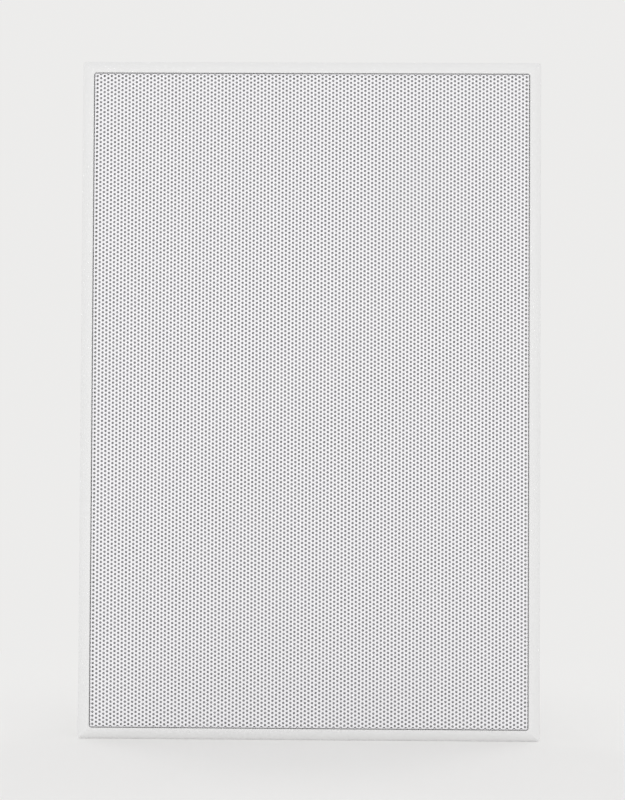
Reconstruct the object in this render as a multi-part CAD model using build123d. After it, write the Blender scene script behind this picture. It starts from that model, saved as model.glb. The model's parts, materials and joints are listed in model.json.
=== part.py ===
from build123d import *
import math
import os

# In-wall loudspeaker: a moulded frame with a pull-off perforated grille, a woofer, a dome tweeter,
# a crossover board and four swing-out clamps. All sizes are in millimetres.
# +X is to the right, +Z is up and the front faces -Y. The origin is in the plane of the wall's
# surface, which is the plane of the flange's back, at the middle of the frame.
# A depth is a Y value: negative in front of the wall's surface and positive behind it.

# Frame moulding
frame_width = 230.0
frame_height = 339.0
frame_corner = 1.5
bezel_width = 5.75
bezel_rise = 2.5
bezel_lip = 0.25
flange_proud = 4.5
flange_floor = 1.5
flange_lap = 12.5
body_wall = 2.5
body_corner = 6.0
baffle_front = 7.0
baffle_thick = 3.0
rib_thick = 2.0
rib_depth = 8.0
rib_clear = 4.0
boss_radius = 4.5
boss_end = 1.5

# Grille pan, its scrim and the magnets that hold it. The perforation is drawn coarser than the
# sheet's own, in the same staggered lattice.
grille_gap = 0.35
grille_setback = 0.2
grille_sheet = 0.8
grille_fold = 0.7
grille_corner = 1.0
hole_pitch = 26.0
hole_column_share = 0.887
hole_across = 15.0
hole_sides = 6
hole_border = 8.0
cloth_thick = 0.25
cloth_border = 1.5
grip_radius = 4.0
grip_thick = 2.5
grip_gap = 0.1
grip_rim = 1.0
grip_spread = 70.0
grip_side_height = 20.0

# Clamps
clamp_inset = 9.0
clamp_end_inset = 47.0
clamp_travel = 30.0
clamp_play = 0.4
clamp_screw_radius = 2.0
clamp_screw_fit = 0.3
clamp_screw_tail = 3.0
clamp_head_radius = 4.0
clamp_head_thick = 2.6
clamp_slot_width = 1.2
clamp_slot_depth = 1.3
dog_hub_radius = 5.5
dog_hub_sides = 8
dog_bore_fit = 0.1
dog_reach = 26.0
dog_width = 8.0
dog_thick = 10.0
dog_tip_thick = 5.0
dog_groove = 1.2
dog_groove_count = 3
tower_play = 0.7
tower_wall = 2.2
tower_plate = 3.0

# Woofer
basket_mouth = 72.5
basket_fit = 0.5
basket_wall = 3.0
basket_back_radius = 47.5
basket_depth = 41.0
basket_back_thick = 4.0
basket_bore = 20.0
spoke_count = 8
spoke_width = 17.0
window_start = 12.0
window_foot = 5.0
woofer_flange_thick = 3.0
flange_edge = 0.4
screw_count = 4
screw_clear = 0.6
screw_radius = 1.7
screw_fit = 0.2
screw_head_radius = 3.0
screw_head_thick = 2.0
screw_length = 8.0
screw_tip_gap = 0.5
surround_land = 3.5
surround_edge = 1.5
surround_roll = 7.5
surround_slope = 6.0
surround_rise = 3.6
surround_lip = 3.0
seat_gap = 0.3
cone_lap = 1.5
cone_drop = 5.5
cone_thick = 1.0
neck_stand = 4.5
cap_radius = 22.0
cap_rise = 7.0
pole_radius = 12.5
pole_vent = 5.0
coil_inner_gap = 0.4
former_thick = 0.4
former_stand = 1.5
former_tail = 2.0
winding_thick = 0.6
winding_length = 11.0
coil_outer_gap = 0.65
glue_gap = 0.1
spider_clear = 1.5
spider_rise = 8.0
spider_thick = 1.0
plate_inset = 4.5
plate_thick = 5.0
ferrite_lap = 2.0
ferrite_bore = 22.0
ferrite_thick = 15.0
yoke_thick = 6.0

# Tweeter
face_radius = 46.0
face_thick = 4.0
horn_radius = 30.0
pole_disc_radius = 12.2
pole_disc_thick = 4.5
neo_inset = 1.2
voice_inner_gap = 0.5
voice_thick = 0.8
voice_length = 7.5
voice_outer_gap = 0.9
dome_lip = 0.1
dome_rise = 6.0
dome_sink = 0.4
throat_clear = 0.9
cup_wall = 7.6
cup_fit = 1.0
cup_depth = 20.0
cup_back_thick = 5.0
face_hook_count = 3
face_hook_start = 30.0
face_hook_width = 8.0
hook_thick = 2.0
hook_overlap = 1.5
hook_lip = 1.2
hook_gap = 0.2

# Terminal strips and tags of both drivers
strip_width = 16.0
strip_length = 11.0
strip_thick = 1.6
tag_width = 3.0
tag_length = 13.0
tag_thick = 0.8
tag_spacing = 5.0
tag_overhang = 4.3
strip_pad = 2.0

# Crossover board and what it carries
board_width = 150.0
board_height = 38.0
board_thick = 1.6
board_top_gap = 3.5
board_clear = 4.0
board_post = 6.0
board_hook_width = 10.0
core_width = 36.0
core_height = 30.0
core_stack = 14.0
core_leg = 10.0
core_side_leg = 6.0
core_inset = 11.0
winding_build = 5.0
winding_clear = 0.3
film_width = 24.0
film_height = 21.0
film_depth = 13.0
can_radius = 7.0
can_length = 28.0
resistor_width = 22.0
resistor_side = 9.0
part_edge = 3.0
block_width = 26.0
block_base = 3.0
block_depth = 17.0
wire_spacing = 12.0
wire_radius = 1.5
wire_depth = 12.0
wire_stand = 6.0
plunger_side = 8.0
plunger_play = 0.2
plunger_length = 11.0
plunger_proud = 4.5
plunger_travel = 3.0
plunger_drop = 5.0
plunger_edge = 0.8

# Small rounds that repeat, such as screws and their holes, are drawn with this many sides.
small_sides = 8

# Every cut runs this far past the material it cuts, and the bezel's crown a little past its plan.
cut_past = 1.0
crown_past = 0.2

# Places worked out from the driving dimensions
body_width = frame_width - 2 * flange_lap
body_height = frame_height - 2 * flange_lap
inner_width = body_width - 2 * body_wall
inner_height = body_height - 2 * body_wall
opening_width = frame_width - 2 * bezel_width
opening_height = frame_height - 2 * bezel_width
baffle_back = baffle_front + baffle_thick

grille_width = opening_width - 2 * grille_gap
grille_height = opening_height - 2 * grille_gap
grille_front = grille_setback - flange_proud
grille_back = grille_front + grille_sheet
cloth_back = grille_back + cloth_thick
grip_front = cloth_back + grip_gap
grip_back = grip_front + grip_thick
grip_post = 2 * (grip_radius + grip_rim)

surround_outer = basket_mouth + surround_land
surround_crest_outer = basket_mouth - surround_edge
surround_crest_inner = surround_crest_outer - surround_roll
surround_inner = surround_crest_inner - surround_slope
cone_radius = surround_inner + cone_lap
screw_circle = surround_outer + screw_head_radius + screw_clear
woofer_flange_radius = screw_circle + screw_head_radius + flange_edge
boss_x = screw_circle * math.cos(math.pi / screw_count)
boss_z = screw_circle * math.sin(math.pi / screw_count)

# Both drivers and the two ends of the body are spaced evenly.
driver_gap = (inner_height - 2 * woofer_flange_radius - 2 * face_radius) / 3
woofer_z = driver_gap + woofer_flange_radius - inner_height / 2
tweeter_z = inner_height / 2 - driver_gap - face_radius

woofer_front = baffle_front - woofer_flange_thick
screw_floor = woofer_front + screw_length + screw_tip_gap
basket_back = baffle_front + basket_depth
basket_floor = basket_back - basket_back_thick
former_inner = pole_radius + coil_inner_gap
former_outer = former_inner + former_thick
winding_inner = former_outer + glue_gap
winding_outer = winding_inner + winding_thick
winding_back = basket_back + (plate_thick + winding_length) / 2
neck_radius = former_outer + glue_gap
cone_rim = woofer_front + cone_drop
cone_neck = basket_floor - spider_rise - spider_thick - neck_stand
spider_radius = basket_back_radius - basket_wall - spider_clear
plate_radius = basket_back_radius - plate_inset
plate_back = basket_back + plate_thick
ferrite_radius = plate_radius + ferrite_lap
ferrite_back = plate_back + ferrite_thick
yoke_back = ferrite_back + yoke_thick

face_front = baffle_front - face_thick
voice_inner = pole_disc_radius + voice_inner_gap
voice_outer = voice_inner + voice_thick
dome_radius = voice_outer + dome_lip
dome_base = baffle_front - dome_sink
voice_front = dome_base + glue_gap
throat_radius = dome_radius + throat_clear
cup_bore = voice_outer + voice_outer_gap
cup_radius = cup_bore + cup_wall
cup_back = baffle_front + cup_depth
cup_floor = cup_back - cup_back_thick
neo_radius = pole_disc_radius - neo_inset
pole_disc_front = baffle_front + cup_fit

clamp_x = body_width / 2 - clamp_inset
clamp_z = body_height / 2 - clamp_end_inset
dog_front = baffle_back + clamp_play + clamp_travel
dog_back = dog_front + dog_thick
tower_front = dog_back + clamp_play
tower_back = tower_front + tower_plate
hub_space = dog_hub_radius + tower_play

# The board stands clear of the tweeter's tags, and what it carries is spaced evenly along it.
board_z = inner_height / 2 - board_top_gap - board_height / 2
board_front = cup_back + strip_thick + tag_thick + board_clear
board_back = board_front + board_thick
board_filled = core_inset + core_width + film_width + can_length + block_width + part_edge
part_gap = (board_width - board_filled) / 3
core_place = core_inset + (core_width - board_width) / 2
film_place = core_place + (core_width + film_width) / 2 + part_gap
can_place = film_place + (film_width + can_length) / 2 + part_gap
block_place = (board_width - block_width) / 2 - part_edge
block_top = board_z + board_height / 2 - part_edge
block_height = wire_depth + plunger_drop + plunger_side / 2 + block_base
block_back = board_back + block_depth

# A dog that folds up swings out to the right, and the half turn about Y that carries a tower
# to the left side makes its dog fold down and swing out to the left.
clamp_sites = {
    "top_right": (clamp_x, clamp_z, 0),
    "bottom_right": (clamp_x, -clamp_z, 0),
    "top_left": (-clamp_x, clamp_z, 180),
    "bottom_left": (-clamp_x, -clamp_z, 180),
}


def slab(outline, front, back):
    """A flat outline, drawn as seen from the front, made solid between two depths."""
    return Pos(0, back, 0) * extrude(Plane.XZ * outline, amount=back - front)


def block(x, y, z):
    """A box between a low and a high value along each axis."""
    middle = Pos((x[0] + x[1]) / 2, (y[0] + y[1]) / 2, (z[0] + z[1]) / 2)
    return middle * Box(x[1] - x[0], y[1] - y[0], z[1] - z[0])


def turned(points, height):
    """A profile of (radius, depth) points, turned about a level axis at a height."""
    profile = make_face(Polyline(*points, close=True))
    return Pos(0, 0, height) * revolve(profile, Axis.Y)


def domed(radius, rise, base, height):
    """A shallow dome with a flat back, bulging to the front of a driver."""
    crown = TangentArc((0, base - rise), (radius, base), tangent=(1, 0))
    back = Line((radius, base), (0, base))
    middle = Line((0, base), (0, base - rise))
    return Pos(0, 0, height) * revolve(make_face([crown, back, middle]), Axis.Y)


def tube(inner, outer, front, back, height):
    """A plain ring between two radii and two depths."""
    return turned([(inner, front), (outer, front), (outer, back), (inner, back)], height)


def rod(radius, front, back, x, z):
    """A round bar along the depth."""
    return Pos(x, 0, z) * slab(Circle(radius), front, back)


def pin(radius, front, back, x=0.0, z=0.0):
    """A small bar or hole along the depth, drawn with few sides."""
    return Pos(x, 0, z) * slab(RegularPolygon(radius, small_sides), front, back)


def around(count, start=0.0):
    """Even angles round a driver's axis."""
    return [start + 360.0 * number / count for number in range(count)]


def placed(shape, height, angle):
    """A shape made on the axis at the origin, turned and carried to a driver."""
    return Pos(0, 0, height) * Rot(0, angle, 0) * shape


def at_clamp(shape, site):
    """A shape made about a clamp's axis, carried to one of the four towers."""
    x, z, turn = clamp_sites[site]
    return Pos(x, 0, z) * Rot(0, turn, 0) * shape


# Frame


def crowned_bar(span, length):
    """A bar with a bezel crown along both long edges, lying along Z. It runs a little past its span."""
    crown = (bezel_width**2 + bezel_rise**2) / (2 * bezel_rise)
    reach = bezel_width + crown_past
    shoulder = flange_proud - crown + math.sqrt(crown**2 - reach**2)
    edge = span / 2 + crown_past
    crest = edge - reach
    section = [
        Line((-edge, -shoulder), (-edge, cut_past)),
        Line((-edge, cut_past), (edge, cut_past)),
        Line((edge, cut_past), (edge, -shoulder)),
        TangentArc((crest, -flange_proud), (edge, -shoulder), tangent=(1, 0)),
        Line((crest, -flange_proud), (-crest, -flange_proud)),
        TangentArc((-crest, -flange_proud), (-edge, -shoulder), tangent=(-1, 0)),
    ]
    return extrude(make_face(section), amount=length / 2 + crown_past, both=True)


def flange():
    """The crowned bezel round the recess that the grille sits in."""
    upright = crowned_bar(frame_width, frame_height)
    level = Rot(0, 90, 0) * crowned_bar(frame_height, frame_width)
    plan = slab(RectangleRounded(frame_width, frame_height, frame_corner), -flange_proud - cut_past, 0)
    corner = grille_corner + grille_gap
    recess = RectangleRounded(opening_width, opening_height, corner)
    bezel = (upright & level & plan) - slab(recess, -flange_proud - cut_past, -flange_floor)
    crest = [e for e in bezel.edges() if e.bounding_box().max.Y < bezel_lip - flange_proud]
    return chamfer(crest, bezel_lip)


def tower():
    """One clamp tower about its screw's axis: a tapering side wall, a stop wall and an end plate."""
    side = -hub_space - tower_wall
    taper = [
        (baffle_front, side),
        (baffle_front, dog_reach),
        (baffle_back, dog_reach),
        (tower_back, hub_space),
        (tower_back, side),
    ]
    gusset = extrude(Plane.YZ * make_face(Polyline(*taper, close=True)), tower_wall)
    stop = block((side, hub_space), (baffle_front, tower_back), (side, -hub_space))
    plate = block((side, hub_space), (tower_front, tower_back), (side, hub_space))
    return Pos(side, 0, 0) * gusset + stop + plate


def grip_sites():
    """Where the grille's magnets sit: along the top, the bottom and the two sides."""
    end = (inner_height - grip_post) / 2
    side = (inner_width - grip_post) / 2
    ends = [(x, z) for x in (-grip_spread, grip_spread) for z in (-end, end)]
    return ends + [(-side, grip_side_height), (side, grip_side_height)]


def board_grips():
    """Posts and hooks behind the baffle that hold the crossover board."""
    half_width, half_height = board_width / 2, board_height / 2
    inset = board_post / 2 + part_edge / 2
    grips = []
    for x in (inset - half_width, half_width - inset):
        for z in (board_z + inset - half_height, board_z + half_height - inset):
            span = board_post / 2
            grips.append(block((x - span, x + span), (baffle_front, board_front), (z - span, z + span)))
    for side in (-1, 1):
        edge = half_width + hook_gap
        uprights = sorted([side * edge, side * (edge + hook_thick)])
        lips = sorted([side * (edge - hook_overlap), side * (edge + hook_thick)])
        heights = (board_z - board_hook_width / 2, board_z + board_hook_width / 2)
        catch = board_back + hook_gap
        grips.append(block(uprights, (baffle_front, catch + hook_lip), heights))
        grips.append(block(lips, (catch, catch + hook_lip), heights))
    return grips


def face_hooks():
    """Moulded hooks in front of the baffle that grip the tweeter's faceplate by its rim."""
    inside = face_radius + hook_gap
    outside = inside + hook_thick
    half_hook = face_hook_width / 2
    catch = face_front - hook_gap
    upright = block((inside, outside), (catch - hook_lip, baffle_back), (-half_hook, half_hook))
    lip = block((inside - hook_overlap, outside), (catch - hook_lip, catch), (-half_hook, half_hook))
    hook = upright + lip
    return [placed(hook, tweeter_z, angle) for angle in around(face_hook_count, face_hook_start)]


def ribs():
    """Stiffening ribs on the baffle's back: across it, along its sides and from the bosses to its ends."""
    between = (woofer_z + basket_mouth + tweeter_z - cup_radius) / 2
    end = (body_height - rib_thick) / 2
    side = (body_width - rib_thick) / 2
    half_rib = rib_thick / 2
    half_length = body_width / 2 - body_corner
    side_reach = clamp_z - dog_reach - rib_clear
    plans = [((-side, side), (between - half_rib, between + half_rib))]
    for z in (-end, end):
        plans.append(((-half_length, half_length), (z - half_rib, z + half_rib)))
    for x in (-side, side):
        plans.append(((x - half_rib, x + half_rib), (-side_reach, side_reach)))
    for x in (-boss_x, boss_x):
        for heights in ((-end, woofer_z - boss_z), (woofer_z + boss_z, end)):
            plans.append(((x - half_rib, x + half_rib), heights))
    return [block(x, (baffle_front, baffle_back + rib_depth), z) for x, z in plans]


def frame():
    tray = RectangleRounded(body_width, body_height, body_corner)
    inside = RectangleRounded(inner_width, inner_height, body_corner - body_wall)
    moulding = flange() + slab(tray, -flange_floor, baffle_back)
    moulding -= slab(inside, -flange_proud, baffle_front)
    moulding += [at_clamp(tower(), site) for site in clamp_sites]
    moulding += board_grips() + face_hooks() + ribs()
    moulding += screw_pattern(rod(boss_radius, baffle_front, screw_floor + boss_end, 0, 0))
    half_post = grip_post / 2
    for x, z in grip_sites():
        reach_x = (x - half_post, x + half_post)
        moulding += block(reach_x, (grip_back, baffle_back), (z - half_post, z + half_post))
    moulding -= rod(basket_mouth + basket_fit, 0, baffle_back + cut_past, 0, woofer_z)
    moulding -= rod(cup_radius + cup_fit, 0, baffle_back + cut_past, 0, tweeter_z)
    clamp_hole = pin(clamp_screw_radius + clamp_screw_fit, 0, tower_back + cut_past)
    moulding -= [at_clamp(clamp_hole, site) for site in clamp_sites]
    return moulding - screw_pattern(pin(screw_radius + screw_fit, 0, screw_floor))


# Grille


def hole_places():
    """A staggered lattice: level columns, each shifted half a pitch from the next."""
    column_pitch = hole_pitch * hole_column_share
    reach_x = grille_width / 2 - hole_border - hole_across / 2
    reach_z = grille_height / 2 - hole_border - hole_across / 2
    columns = int(reach_x / column_pitch)
    places = []
    for column in range(-columns, columns + 1):
        shift = hole_pitch / 2 if column % 2 else 0.0
        rows = int((reach_z - shift) / hole_pitch)
        lowest = -rows - 1 if shift else -rows
        places += [(column * column_pitch, row * hole_pitch + shift) for row in range(lowest, rows + 1)]
    return places


def grille():
    outside = RectangleRounded(grille_width, grille_height, grille_corner)
    inside = RectangleRounded(
        grille_width - 2 * grille_sheet,
        grille_height - 2 * grille_sheet,
        grille_corner - grille_sheet,
    )
    pan = slab(outside, grille_front, -flange_floor)
    front_edges = [e for e in pan.edges() if e.bounding_box().max.Y < grille_front + grille_sheet / 2]
    pan = chamfer(front_edges, grille_fold)
    pan -= slab(inside, grille_back, -flange_floor + cut_past)
    hole = RegularPolygon(hole_across / 2, hole_sides)
    holes = Sketch() + [Pos(x, z) * hole for x, z in hole_places()]
    return pan - slab(holes, grille_front - cut_past, grille_back + cut_past)


def grille_cloth():
    shrink = 2 * (grille_sheet + cloth_border)
    return slab(Rectangle(grille_width - shrink, grille_height - shrink), grille_back, cloth_back)


def grille_magnets():
    return [pin(grip_radius, grip_front, grip_back, x, z) for x, z in grip_sites()]


# Woofer


def screw_pattern(shape):
    """Copies of a shape at the woofer's fixing holes."""
    lifted = Pos(screw_circle, 0, 0) * shape
    return [placed(lifted, woofer_z, angle) for angle in around(screw_count, 180 / screw_count)]


def woofer_basket():
    mouth_inner = basket_mouth - basket_wall
    back_inner = basket_back_radius - basket_wall
    bowl = turned(
        [
            (mouth_inner, woofer_front),
            (woofer_flange_radius, woofer_front),
            (woofer_flange_radius, baffle_front),
            (basket_mouth, baffle_front),
            (basket_back_radius, basket_back),
            (basket_bore, basket_back),
            (basket_bore, basket_floor),
            (back_inner, basket_floor),
        ],
        0,
    )
    window_front = baffle_front + window_start
    windows = tube(basket_bore, woofer_flange_radius, window_front, basket_floor - window_foot, 0)
    half_spoke = spoke_width / 2
    spoke = block((0, woofer_flange_radius + cut_past), (0, basket_back), (-half_spoke, half_spoke))
    windows -= [placed(spoke, 0, angle) for angle in around(spoke_count)]
    half_strip = strip_width / 2 + strip_pad
    pad = block(
        (-half_strip, half_strip),
        (basket_floor, basket_back),
        (basket_back_radius - basket_wall, basket_back_radius + strip_length),
    )
    bowl = Pos(0, 0, woofer_z) * (bowl - windows + pad)
    return bowl - screw_pattern(pin(screw_radius + screw_fit, 0, baffle_front + cut_past))


def woofer_screws():
    head = pin(screw_head_radius, woofer_front - screw_head_thick, woofer_front)
    shank = pin(screw_radius, woofer_front, woofer_front + screw_length)
    return screw_pattern(head + shank)


def woofer_surround():
    crest = woofer_front - surround_rise
    lip_depth = cone_rim - seat_gap
    mouth = basket_mouth - basket_wall - seat_gap
    return turned(
        [
            (surround_outer, woofer_front),
            (surround_crest_outer, crest),
            (surround_crest_inner, crest),
            (surround_inner, lip_depth),
            (surround_inner + surround_lip, lip_depth),
            (mouth, woofer_front),
        ],
        woofer_z,
    )


def woofer_cone():
    return turned(
        [
            (cone_radius, cone_rim),
            (cone_radius, cone_rim + cone_thick),
            (neck_radius, cone_neck + cone_thick),
            (neck_radius, cone_neck),
        ],
        woofer_z,
    )


def cone_depth_at(radius):
    """Depth of the cone's front face at a radius."""
    return cone_rim + (cone_neck - cone_rim) * (cone_radius - radius) / (cone_radius - neck_radius)


def woofer_dust_cap():
    return domed(cap_radius, cap_rise, cone_depth_at(cap_radius) - seat_gap, woofer_z)


def woofer_former():
    front = cone_neck - former_stand
    return tube(former_inner, former_outer, front, winding_back + former_tail, woofer_z)


def woofer_winding():
    return tube(winding_inner, winding_outer, winding_back - winding_length, winding_back, woofer_z)


def woofer_spider():
    inner = former_outer + glue_gap
    inner_depth = basket_floor - spider_rise
    return turned(
        [
            (spider_radius, basket_floor),
            (spider_radius, basket_floor - spider_thick),
            (inner, inner_depth - spider_thick),
            (inner, inner_depth),
        ],
        woofer_z,
    )


def woofer_top_plate():
    bore = winding_outer + coil_outer_gap
    return tube(bore, plate_radius, basket_back, plate_back, woofer_z)


def woofer_magnet():
    return tube(ferrite_bore, ferrite_radius, plate_back, ferrite_back, woofer_z)


def woofer_yoke():
    return turned(
        [
            (pole_vent, basket_back),
            (pole_radius, basket_back),
            (pole_radius, ferrite_back),
            (plate_radius, ferrite_back),
            (plate_radius, yoke_back),
            (pole_vent, yoke_back),
        ],
        woofer_z,
    )


# Terminal strips and tags, made pointing up from the edge of a driver


def terminal_strip(back, start):
    half = strip_width / 2
    return block((-half, half), (back, back + strip_thick), (start, start + strip_length))


def terminal_tags(back, end):
    """Two solder tags on a strip that lies on a driver's back, reaching up to a height."""
    front = back + strip_thick
    tags = []
    for side in (-1, 1):
        middle = side * tag_spacing / 2
        reach_x = (middle - tag_width / 2, middle + tag_width / 2)
        tags.append(block(reach_x, (front, front + tag_thick), (end - tag_length, end)))
    return tags


woofer_strip_start = basket_back_radius
woofer_tag_end = woofer_strip_start + strip_length + tag_overhang
tweeter_strip_start = cup_radius - strip_length
tweeter_tag_end = cup_radius + tag_overhang


def woofer_terminal_strip():
    return placed(terminal_strip(basket_back, woofer_strip_start), woofer_z, 0)


def woofer_tags():
    return [placed(tag, woofer_z, 0) for tag in terminal_tags(basket_back, woofer_tag_end)]


def tweeter_terminal_strip():
    return placed(terminal_strip(cup_back, tweeter_strip_start), tweeter_z, -90)


def tweeter_tags():
    return [placed(tag, tweeter_z, -90) for tag in terminal_tags(cup_back, tweeter_tag_end)]


# Tweeter


def tweeter_faceplate():
    return turned(
        [
            (horn_radius, face_front),
            (face_radius, face_front),
            (face_radius, baffle_front),
            (throat_radius, baffle_front),
        ],
        tweeter_z,
    )


def tweeter_dome():
    return domed(dome_radius, dome_rise, dome_base, tweeter_z)


def tweeter_coil():
    return tube(voice_inner, voice_outer, voice_front, voice_front + voice_length, tweeter_z)


def tweeter_pole_disc():
    back = pole_disc_front + pole_disc_thick
    return rod(pole_disc_radius, pole_disc_front, back, 0, tweeter_z)


def tweeter_magnet():
    return rod(neo_radius, pole_disc_front + pole_disc_thick, cup_floor, 0, tweeter_z)


def tweeter_cup():
    return turned(
        [
            (cup_bore, baffle_front),
            (cup_radius, baffle_front),
            (cup_radius, cup_back),
            (0, cup_back),
            (0, cup_floor),
            (cup_bore, cup_floor),
        ],
        tweeter_z,
    )


# Crossover


def crossover_board():
    return Pos(0, 0, board_z) * slab(Rectangle(board_width, board_height), board_front, board_back)


core_middle = board_back + winding_build + winding_clear + core_stack / 2


def inductor_core():
    """A laminated core with two windows either side of its middle leg."""
    window_width = (core_width - core_leg) / 2 - core_side_leg
    window_height = core_height - 2 * core_side_leg
    window_place = (core_leg + window_width) / 2
    outline = Rectangle(core_width, core_height)
    for side in (-1, 1):
        outline -= Pos(side * window_place, 0) * Rectangle(window_width, window_height)
    half = core_stack / 2
    return Pos(core_place, 0, board_z) * slab(outline, core_middle - half, core_middle + half)


def inductor_winding():
    """Wire wound round the core's middle leg, lying on the board."""
    window_width = (core_width - core_leg) / 2 - core_side_leg
    half_height = core_height / 2 - core_side_leg - winding_clear
    half_inner = core_leg / 2 + winding_clear
    half_outer = core_leg / 2 + window_width - winding_clear
    half_core = core_stack / 2 + winding_clear
    half_deep = half_core + winding_build
    coil = block((-half_outer, half_outer), (-half_deep, half_deep), (-half_height, half_height))
    coil -= block((-half_inner, half_inner), (-half_core, half_core), (-half_height, half_height))
    return Pos(core_place, core_middle, board_z) * coil


def capacitors():
    """A boxed film capacitor and a round can lying along the board."""
    half_film = film_width / 2
    top = board_z + board_height / 2 - part_edge
    film = block(
        (film_place - half_film, film_place + half_film),
        (board_back, board_back + film_depth),
        (top - film_height, top),
    )
    half_can = can_length / 2
    can = Rot(0, 0, 90) * rod(can_radius, -half_can, half_can, 0, 0)
    return [film, Pos(can_place, board_back + can_radius + glue_gap, top - can_radius) * can]


def resistor():
    half = resistor_width / 2
    bottom = board_z - board_height / 2 + part_edge
    return block(
        (can_place - half, can_place + half),
        (board_back, board_back + resistor_side),
        (bottom, bottom + resistor_side),
    )


plunger_places = {"black": block_place - wire_spacing / 2, "red": block_place + wire_spacing / 2}
plunger_middle = block_top - wire_depth - plunger_drop
plunger_front = block_back + plunger_proud - plunger_length


def terminal_block():
    half = block_width / 2
    housing = block(
        (block_place - half, block_place + half),
        (board_back, block_back),
        (block_top - block_height, block_top),
    )
    slot = plunger_side / 2 + plunger_play
    floor = plunger_front - plunger_travel - plunger_play
    for x in plunger_places.values():
        wire = extrude(Plane.XY * Circle(wire_radius), wire_depth + cut_past)
        housing -= Pos(x, board_back + wire_stand, block_top - wire_depth) * wire
        heights = (plunger_middle - slot, plunger_middle + slot)
        housing -= block((x - slot, x + slot), (floor, block_back + cut_past), heights)
    return housing


def terminal_plunger(colour):
    x = plunger_places[colour]
    half = plunger_side / 2
    key = block(
        (x - half, x + half),
        (plunger_front, plunger_front + plunger_length),
        (plunger_middle - half, plunger_middle + half),
    )
    rear_edges = key.faces().sort_by(Axis.Y)[-1].edges()
    return chamfer(rear_edges, plunger_edge)


# Clamps


def clamp_screw():
    """A slotted screw whose head bears on the baffle and whose tail runs in the tower's plate."""
    head_front = baffle_front - clamp_head_thick
    screw = pin(clamp_head_radius, head_front, baffle_front)
    screw += pin(clamp_screw_radius, head_front, tower_back + clamp_screw_tail)
    half = clamp_slot_width / 2
    reach = clamp_head_radius + cut_past
    slot_depths = (head_front - cut_past, head_front + clamp_slot_depth)
    return screw - block((-reach, reach), slot_depths, (-half, half))


def clamp_dog():
    """A dog folded up beside its tower: an eight-sided hub and a tapered arm with a grooved tip."""
    outline = RegularPolygon(dog_hub_radius, dog_hub_sides, rotation=180 / dog_hub_sides)
    hub = slab(outline, dog_front, dog_back)
    half = dog_width / 2
    side_view = [
        (dog_front, 0),
        (dog_front, dog_reach),
        (dog_front + dog_tip_thick, dog_reach),
        (dog_back, dog_hub_radius),
        (dog_back, 0),
    ]
    arm = extrude(Plane.YZ * make_face(Polyline(*side_view, close=True)), half, both=True)
    dog = hub + arm
    for number in range(dog_groove_count):
        height = dog_reach - 2 * dog_groove * (number + 1)
        cutter = Rot(45, 0, 0) * Box(dog_width + 2 * cut_past, dog_groove, dog_groove)
        dog -= Pos(0, dog_front, height) * cutter
    return dog - pin(clamp_screw_radius + dog_bore_fit, dog_front - cut_past, dog_back + cut_past)


pieces = {
    "frame": frame(),
    "grille": grille(),
    "grille_cloth": grille_cloth(),
    "grille_magnets": grille_magnets(),
    "woofer_basket": woofer_basket(),
    "woofer_screws": woofer_screws(),
    "woofer_surround": woofer_surround(),
    "woofer_cone": woofer_cone(),
    "woofer_dust_cap": woofer_dust_cap(),
    "woofer_former": woofer_former(),
    "woofer_winding": woofer_winding(),
    "woofer_spider": woofer_spider(),
    "woofer_top_plate": woofer_top_plate(),
    "woofer_magnet": woofer_magnet(),
    "woofer_yoke": woofer_yoke(),
    "woofer_terminal_strip": woofer_terminal_strip(),
    "woofer_tags": woofer_tags(),
    "tweeter_faceplate": tweeter_faceplate(),
    "tweeter_dome": tweeter_dome(),
    "tweeter_coil": tweeter_coil(),
    "tweeter_pole_disc": tweeter_pole_disc(),
    "tweeter_magnet": tweeter_magnet(),
    "tweeter_cup": tweeter_cup(),
    "tweeter_terminal_strip": tweeter_terminal_strip(),
    "tweeter_tags": tweeter_tags(),
    "crossover_board": crossover_board(),
    "inductor_core": inductor_core(),
    "inductor_winding": inductor_winding(),
    "capacitors": capacitors(),
    "resistor": resistor(),
    "terminal_block": terminal_block(),
}
for colour in plunger_places:
    pieces["terminal_plunger_" + colour] = terminal_plunger(colour)
for site in clamp_sites:
    pieces["clamp_screw_" + site] = at_clamp(clamp_screw(), site)
    pieces["clamp_dog_" + site] = at_clamp(clamp_dog(), site)

os.makedirs("parts", exist_ok=True)
for name, shape in pieces.items():
    solid = Compound(shape) if isinstance(shape, list) else shape
    export_step(solid, os.path.join("parts", name + ".step"))
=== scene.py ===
import json
import math

import bmesh
import bpy
import numpy as np
from mathutils import Matrix, Vector


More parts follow.
